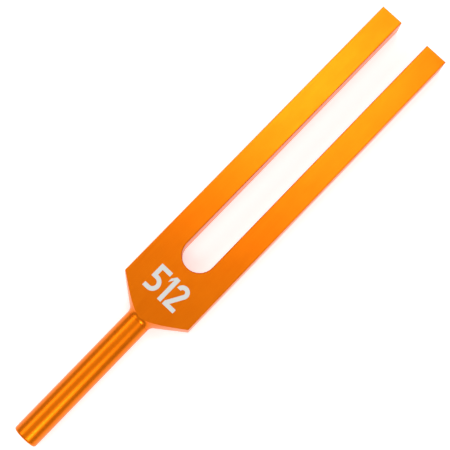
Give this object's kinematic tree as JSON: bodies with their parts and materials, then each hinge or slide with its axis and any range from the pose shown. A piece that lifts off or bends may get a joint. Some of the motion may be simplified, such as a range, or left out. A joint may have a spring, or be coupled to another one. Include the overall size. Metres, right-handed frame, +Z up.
{
  "type": "tuning fork",
  "caption": "Aluminium tuning fork with long straight tines, a round-bottomed slot, a turned shoulder and a round stem; struck, it rings at a steady pitch.",
  "frame": {"origin": "under the middle of the fork, on the surface that its back lies on", "axes": "+Y along the fork from the foot of the stem to the tips of the tines, +Z up through the face that carries the number, +X across the tines"},
  "size_m": [0.03, 0.1958, 0.01],
  "materials": {
    "anodised_head": "orange anodised, fine brushed grain",
    "anodised_stem": "orange anodised, turned",
    "stud_steel": "zinc plated",
    "number_fill": "pale grey enamel filling"
  },
  "bodies": {
    "root": {"fork_head": "anodised_head", "stem": "anodised_stem", "stem_stud": "stud_steel", "pitch_number": "number_fill"}
  },
  "joints": []
}
